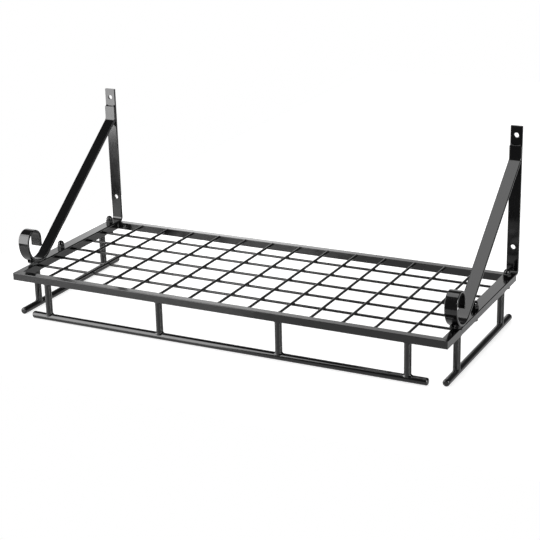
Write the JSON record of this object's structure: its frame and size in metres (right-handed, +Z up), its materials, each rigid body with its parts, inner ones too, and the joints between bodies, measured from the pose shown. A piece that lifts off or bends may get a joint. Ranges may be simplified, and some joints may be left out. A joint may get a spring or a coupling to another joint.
{
  "type": "wall mounted pot rack",
  "caption": "Black steel wall shelf of welded wire in a square-bar frame, held by scrolled strip brackets, with round bars below for pan hooks.",
  "frame": {"origin": "middle of the rack's width and depth, at the underside of the hook bars", "axes": "+Z up, +Y towards the wall, +X to the right as seen from the room"},
  "size_m": [0.616, 0.254, 0.2573],
  "materials": {
    "frame_enamel": "semi-gloss black enamel",
    "wire_enamel": "semi-gloss black enamel",
    "bar_enamel": "semi-gloss black enamel",
    "bracket_enamel": "semi-gloss black enamel",
    "fastener_black": "gloss black"
  },
  "bodies": {
    "root": {"front_rail": "frame_enamel", "rear_rail": "frame_enamel", "left_rail": "frame_enamel", "right_rail": "frame_enamel", "cross_wire_01": "wire_enamel", "cross_wire_02": "wire_enamel", "cross_wire_03": "wire_enamel", "cross_wire_04": "wire_enamel", "cross_wire_05": "wire_enamel", "cross_wire_06": "wire_enamel", "cross_wire_07": "wire_enamel", "cross_wire_08": "wire_enamel", "cross_wire_09": "wire_enamel", "cross_wire_10": "wire_enamel", "cross_wire_11": "wire_enamel", "cross_wire_12": "wire_enamel", "cross_wire_13": "wire_enamel", "long_wire_1": "wire_enamel", "long_wire_2": "wire_enamel", "long_wire_3": "wire_enamel", "long_wire_4": "wire_enamel", "long_wire_5": "wire_enamel", "front_hook_bar": "bar_enamel", "left_hook_bar": "bar_enamel", "right_hook_bar": "bar_enamel", "front_post_1": "bar_enamel", "front_post_2": "bar_enamel", "front_post_3": "bar_enamel", "front_post_4": "bar_enamel", "left_front_post": "bar_enamel", "left_rear_post": "bar_enamel", "right_front_post": "bar_enamel", "right_rear_post": "bar_enamel", "left_wall_bracket": "bracket_enamel", "right_wall_bracket": "bracket_enamel", "left_brace": "bracket_enamel", "right_brace": "bracket_enamel", "bracket_bolts": "fastener_black", "acorn_nuts": "fastener_black"}
  },
  "joints": []
}
